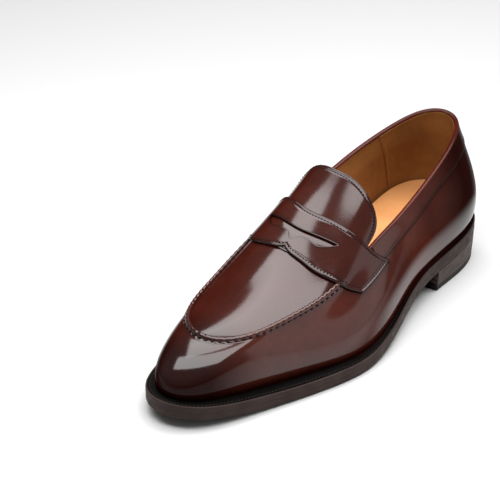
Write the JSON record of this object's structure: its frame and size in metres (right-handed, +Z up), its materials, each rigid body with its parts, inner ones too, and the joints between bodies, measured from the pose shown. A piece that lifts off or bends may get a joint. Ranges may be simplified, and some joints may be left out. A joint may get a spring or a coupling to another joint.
{
  "type": "penny loafer",
  "caption": "Low leather slip-on shoe with a stitched apron toe, a slotted saddle strap, a raised tongue, a welted sole and a stacked heel.",
  "frame": {"origin": "centre of the shoe's bounding box in plan, on the ground", "axes": "+Z up, -Y towards the toe, +Y towards the heel, +X towards the lateral (outer) side of this left shoe"},
  "size_m": [0.1035, 0.2995, 0.0973],
  "materials": {
    "upper_leather": "polished burgundy calf leather, high gloss",
    "binding_leather": "dark red rolled edge, satin",
    "lining_leather": "unpolished tan leather",
    "sock_leather": "light tan leather, faint grain",
    "fibre_board": "stiffened fibre board",
    "cork": "cork paste",
    "shank_steel": "pressed spring steel",
    "welt_leather": "black waxed leather",
    "sole_leather": "dark stained and burnished leather edge",
    "heel_rubber": "matt black rubber",
    "nail_brass": "plain",
    "thread": "waxed linen thread"
  },
  "bodies": {
    "shoe": {"side_panel": "upper_leather", "apron": "upper_leather", "saddle_strap": "upper_leather", "collar_band": "upper_leather", "topline_binding": "binding_leather", "apron_lining": "lining_leather", "vamp_lining": "lining_leather", "quarter_lining_lateral": "lining_leather", "quarter_lining_medial": "lining_leather", "heel_lining": "lining_leather", "sock_liner": "sock_leather", "toe_puff": "fibre_board", "heel_counter": "fibre_board", "insole": "fibre_board", "cork_filler": "cork", "heel_filler": "cork", "heel_pad": "cork", "shank": "shank_steel", "welt": "welt_leather", "heel_rand": "welt_leather", "outsole": "sole_leather", "heel_wedge": "sole_leather", "heel_lift_1": "sole_leather", "heel_lift_2": "sole_leather", "heel_top_piece": "heel_rubber", "heel_nail_1": "nail_brass", "heel_nail_2": "nail_brass", "heel_nail_3": "nail_brass", "heel_nail_4": "nail_brass", "heel_nail_5": "nail_brass", "apron_thread": "thread", "welt_thread": "thread"},
    "tongue": {"tongue": "upper_leather", "tongue_lining": "lining_leather"}
  },
  "joints": [
    {"name": "tongue_flex", "type": "hinge", "parent": "shoe", "child": "tongue", "pos_m": [-0.007, -0.0053, 0.079], "axis": [1, 0, 0], "range_deg": [-4, 25], "stiffness_Nm_per_rad": 0.05}
  ]
}
